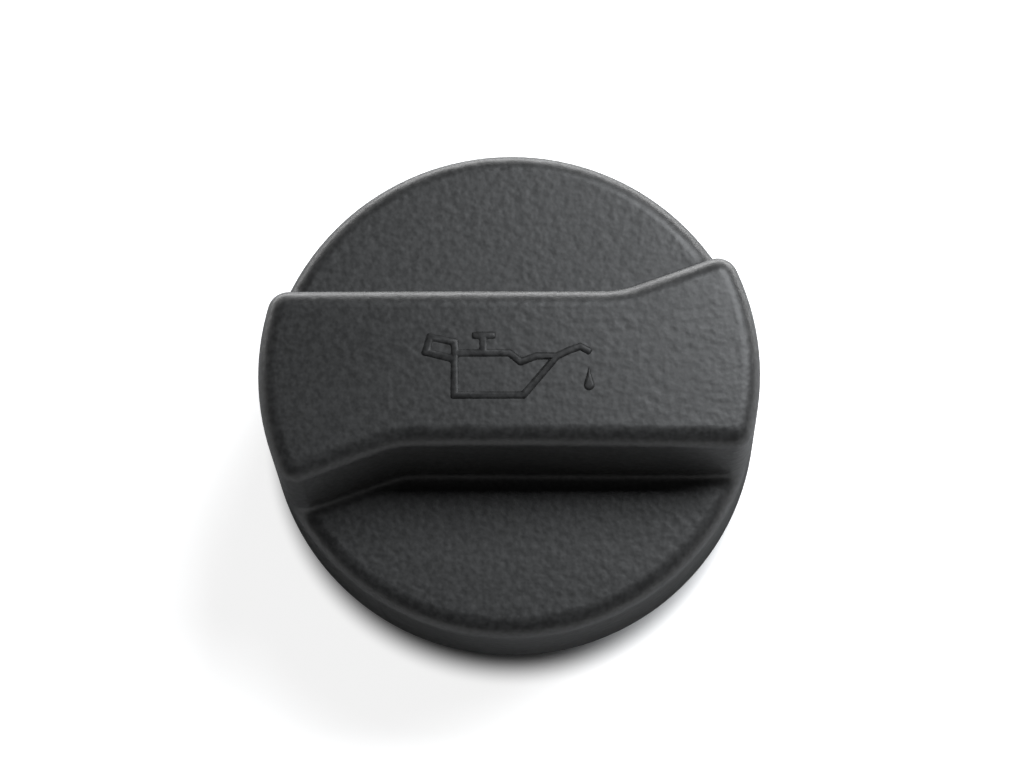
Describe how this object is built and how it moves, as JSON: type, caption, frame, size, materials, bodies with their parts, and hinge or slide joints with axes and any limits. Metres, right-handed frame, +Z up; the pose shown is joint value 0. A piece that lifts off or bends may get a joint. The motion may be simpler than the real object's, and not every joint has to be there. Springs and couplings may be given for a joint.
{
  "type": "oil filler cap",
  "caption": "Round black moulded oil filler cap with a kinked grip bar across its top, a bayonet neck and a rubber sealing ring, closing an engine's filler neck.",
  "frame": {"origin": "on the cap's axis, in the plane of the neck's end that the cap stands on", "axes": "+Z up along the cap's axis, X along the grip bar, the oil-can sign upright as seen from -Y"},
  "size_m": [0.0678, 0.0678, 0.0483],
  "materials": {
    "cover_plastic": "fine spark-eroded grain, satin",
    "plug_plastic": "smooth moulded, satin",
    "seal_rubber": "dull moulded rubber"
  },
  "bodies": {
    "root": {"cover": "cover_plastic", "bayonet_plug": "plug_plastic", "sealing_ring": "seal_rubber"}
  },
  "joints": []
}
